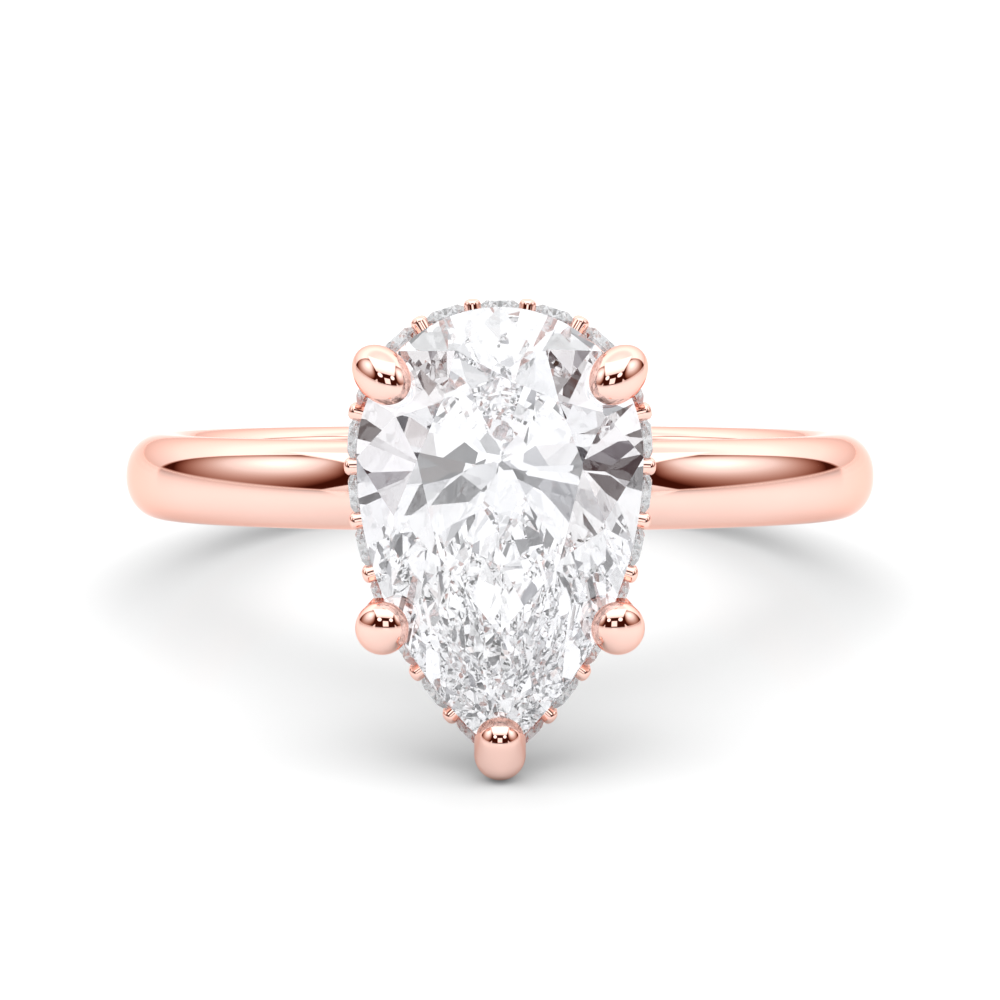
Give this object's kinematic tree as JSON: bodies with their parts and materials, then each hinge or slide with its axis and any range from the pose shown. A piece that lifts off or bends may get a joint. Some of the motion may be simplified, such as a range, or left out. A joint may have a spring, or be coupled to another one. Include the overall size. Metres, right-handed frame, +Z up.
{
  "type": "engagement ring",
  "caption": "Rose gold solitaire ring with a pear-shaped brilliant held by ball-ended claws over a hidden halo of small round stones, lying on its side.",
  "frame": {"origin": "on the surface that the ring lies on, under the middle of the ring's box", "axes": "+Z up from the surface, +X to the right as the centre stone is faced, +Y from the head to the back of the shank; the finger axis leans 13.72 degrees from +Z towards +Y"},
  "size_m": [0.02, 0.0266, 0.0113],
  "materials": {
    "rose_gold": "cast 14 carat rose gold, mirror polished",
    "diamond": "colourless diamond, brilliant cut and polished"
  },
  "bodies": {
    "root": {"shank": "rose_gold", "head_base": "rose_gold", "gallery_rail": "rose_gold", "halo_rail": "rose_gold", "claw_upper_left": "rose_gold", "claw_upper_right": "rose_gold", "claw_lower_left": "rose_gold", "claw_lower_right": "rose_gold", "claw_tip": "rose_gold", "halo_prong_01": "rose_gold", "halo_prong_02": "rose_gold", "halo_prong_03": "rose_gold", "halo_prong_04": "rose_gold", "halo_prong_05": "rose_gold", "halo_prong_06": "rose_gold", "halo_prong_07": "rose_gold", "halo_prong_08": "rose_gold", "halo_prong_09": "rose_gold", "halo_prong_10": "rose_gold", "halo_prong_11": "rose_gold", "halo_prong_12": "rose_gold", "halo_prong_13": "rose_gold", "halo_prong_14": "rose_gold", "halo_prong_15": "rose_gold", "halo_prong_16": "rose_gold", "centre_stone": "diamond", "halo_stone_01": "diamond", "halo_stone_02": "diamond", "halo_stone_03": "diamond", "halo_stone_04": "diamond", "halo_stone_05": "diamond", "halo_stone_06": "diamond", "halo_stone_07": "diamond", "halo_stone_08": "diamond", "halo_stone_09": "diamond", "halo_stone_10": "diamond", "halo_stone_11": "diamond", "halo_stone_12": "diamond", "halo_stone_13": "diamond", "halo_stone_14": "diamond", "halo_stone_15": "diamond", "halo_stone_16": "diamond", "halo_stone_17": "diamond", "halo_stone_18": "diamond", "halo_stone_19": "diamond", "halo_stone_20": "diamond", "halo_stone_21": "diamond"}
  },
  "joints": []
}
